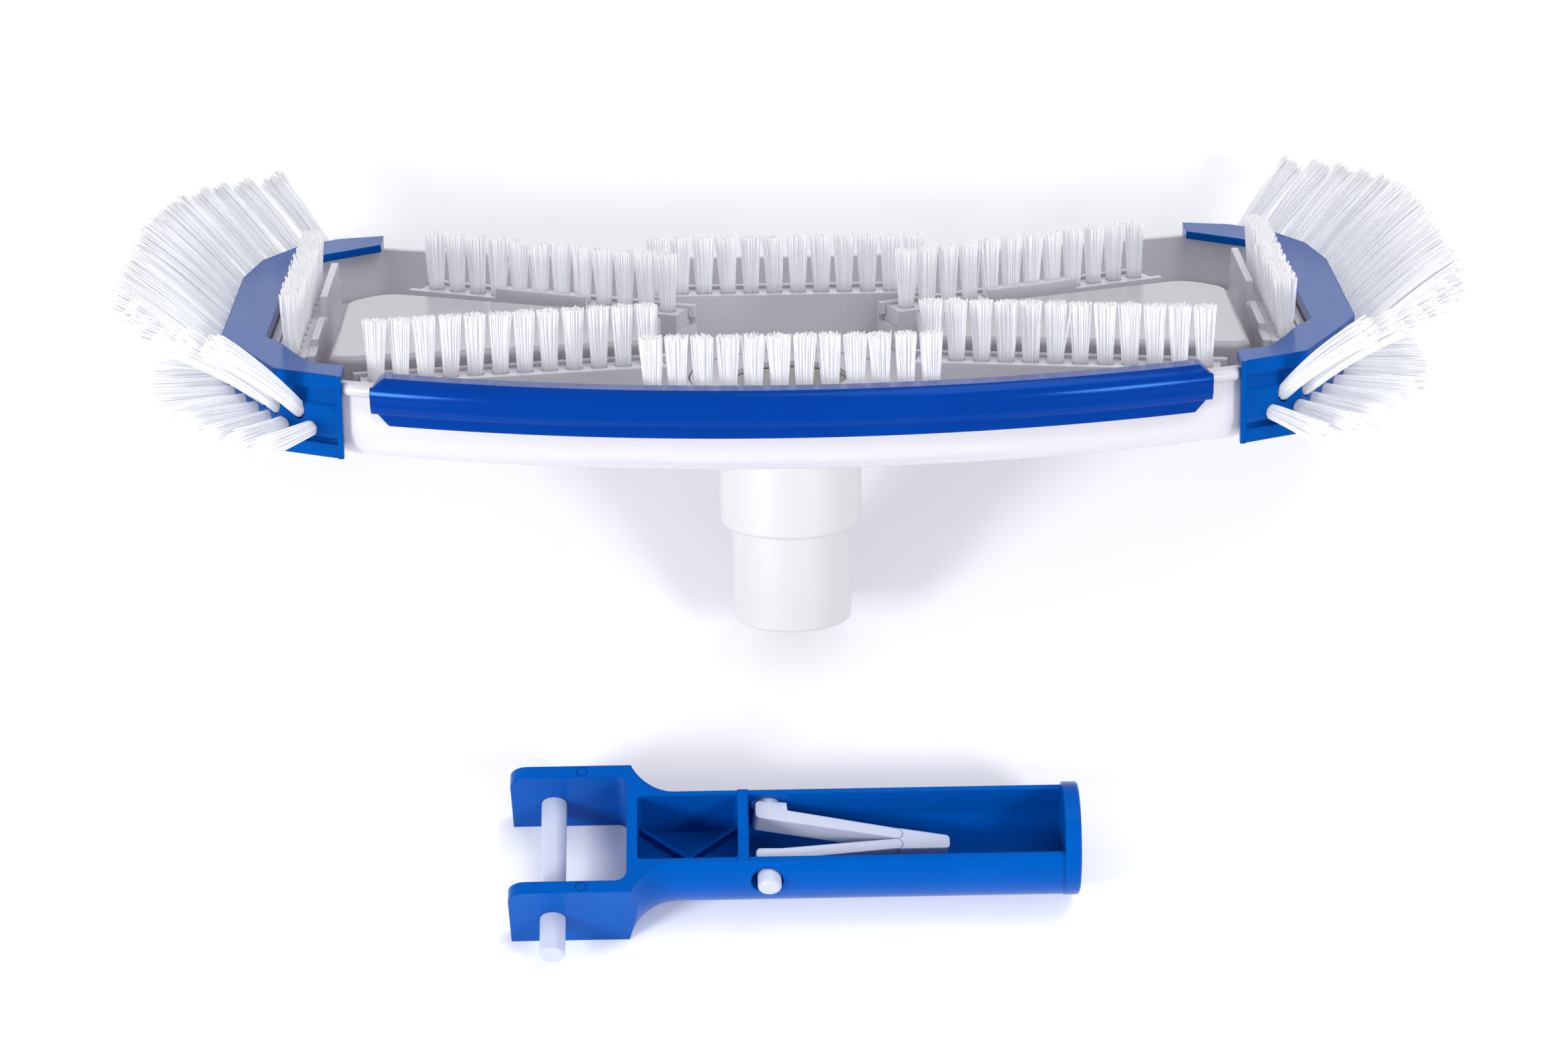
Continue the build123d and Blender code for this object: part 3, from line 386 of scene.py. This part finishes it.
STEEL = moulded("screw_steel", screen(190, 190, 195), 0.28, Metallic=1.0)
NYLON = filament()

SURFACES = {
    "white_plastic": WHITE, "pod_plastic": POD_GREY, "blue_plastic": BLUE, "handle_blue": HANDLE_BLUE,
    "filament": NYLON, "clip_plastic": CLIP_WHITE, "seal_rubber": RUBBER, "weight_iron": IRON,
    "screw_steel": STEEL,
}
OWN_SURFACES = {"hose_cuff": CUFF_WHITE, "bumper_strip": BUMPER_BLUE, "pivot_pin": CLIP_WHITE}
for part in frame["record"]["subparts"]:
    node = NODES[part["node"]]
    node.data.materials.clear()
    node.data.materials.append(OWN_SURFACES.get(node.name, SURFACES[part["material_slot"]]))


# ---------------- the brushes ----------------
STRIP_TUFTS = dict(count=96, rings=5, width=0.00038, spread=1.02, lean=0.008, ragged=0.010, stray=0.015)
UPPER_TUFTS = dict(count=110, rings=7, width=0.0004, spread=1.38, lean=0.012, ragged=0.014, stray=0.02,
                   arch=0.03)
LOWER_TUFTS = dict(count=90, rings=5, width=0.0004, spread=1.2, lean=0.025, ragged=0.02, stray=0.03)

STRIPS = [name for name in NODES if name.startswith("brush_tufts_")]
for strip in STRIPS:
    bristles(strip.replace("brush_tufts_", "bristles_"), [strip], "head", NYLON, **STRIP_TUFTS)
for side in ("left", "right"):
    bristles("fan_upper_" + side, ["side_tufts_upper_" + side], "head", NYLON, **UPPER_TUFTS)
    bristles("fan_lower_" + side, ["side_tufts_lower_" + side], "head", NYLON, **LOWER_TUFTS)


# ---------------- floor, lights and camera ----------------
def floor():
    """A plain pale floor."""
    mesh = bpy.data.meshes.new("floor")
    reach = 6.0
    mesh.from_pydata([(-reach, -reach, 0), (reach, -reach, 0), (reach, reach, 0), (-reach, reach, 0)],
                     [], [(0, 1, 2, 3)])
    look = Look("floor_paper", Roughness=0.9, Specular_IOR_Level=0.1)
    look.colour(look.blend(look.noise(2, 1), screen(251, 251, 254), screen(253, 253, 255)))
    mesh.materials.append(look.material)
    ground = bpy.data.objects.new("floor", mesh)
    bpy.context.scene.collection.objects.link(ground)


def softbox(name, at, target, size, power):
    """A rectangular white area light that faces a target."""
    data = bpy.data.lights.new(name, "AREA")
    data.shape = "RECTANGLE"
    data.size, data.size_y = size
    data.energy = power
    lamp = bpy.data.objects.new(name, data)
    lamp.location = at
    lamp.rotation_euler = (Vector(target) - Vector(at)).to_track_quat("-Z", "Y").to_euler()
    bpy.context.scene.collection.objects.link(lamp)


def sky(colour, strength):
    """Even light from all round."""
    world = bpy.data.worlds.new("studio")
    world.use_nodes = True
    background = world.node_tree.nodes["Background"]
    background.inputs["Color"].default_value = colour
    background.inputs["Strength"].default_value = strength
    bpy.context.scene.world = world


def camera(at, turn, lens):
    """A 36 mm wide camera, with its turn in degrees about X, Y and Z and its lens in millimetres."""
    data = bpy.data.cameras.new("camera")
    data.lens = lens
    data.sensor_width = 36.0
    data.clip_end = 20.0
    eye = bpy.data.objects.new("camera", data)
    eye.location = at
    eye.rotation_euler = [radians(a) for a in turn]
    bpy.context.scene.collection.objects.link(eye)
    bpy.context.scene.camera = eye


floor()
sky((0.97, 0.975, 1.0, 1.0), 0.64)
softbox("overhead", at=(0.45, 0.3, 1.5), target=(0, 0, 0), size=(1.0, 0.8), power=7.5)
softbox("low_left", at=(-1.3, -1.0, 0.8), target=(0, 0, 0.05), size=(0.45, 0.45), power=19.5)
softbox("low_right", at=(1.2, -1.2, 1.1), target=(0, 0, 0.05), size=(0.45, 0.45), power=15.0)
camera(at=(-0.01302, -0.7275021, 0.99518), turn=(36.764, 0.179, -1.117), lens=102.35)

scene = bpy.context.scene
scene.view_settings.view_transform = "Standard"
scene.cycles.diffuse_bounces = 12  # white strands pass light on many times
